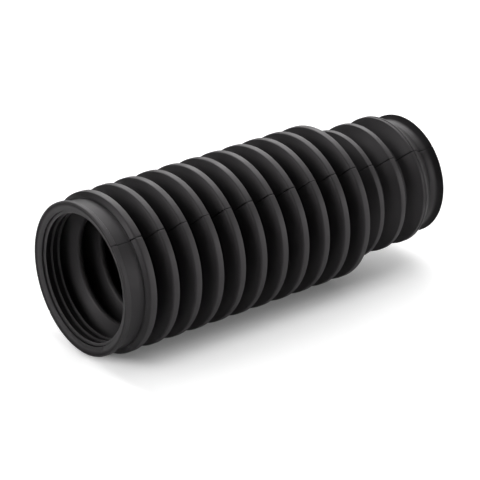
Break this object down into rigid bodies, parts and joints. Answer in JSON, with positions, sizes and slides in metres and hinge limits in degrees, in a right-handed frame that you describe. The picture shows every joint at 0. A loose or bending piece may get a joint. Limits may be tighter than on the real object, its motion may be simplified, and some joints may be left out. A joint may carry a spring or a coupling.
{
  "type": "rubber bellows boot",
  "caption": "One-piece moulded rubber bellows boot: a ribbed clamping mouth, a long run of flat-crested folds, and a slimmer folded neck with a flanged sleeve that seals round a rod or tube.",
  "frame": {"origin": "centre of the large end's face, on the boot's axis; the boot stands on this end", "axes": "+Z along the boot's axis from the large end to the small end; the two mould parting lines lie on the +X and -X sides"},
  "size_m": [0.066, 0.066, 0.1715],
  "materials": {
    "rubber": "matt black moulded rubber, fine mould tooling marks, thin flash along two parting lines"
  },
  "bodies": {
    "root": {"bellows_boot": "rubber"}
  },
  "joints": []
}
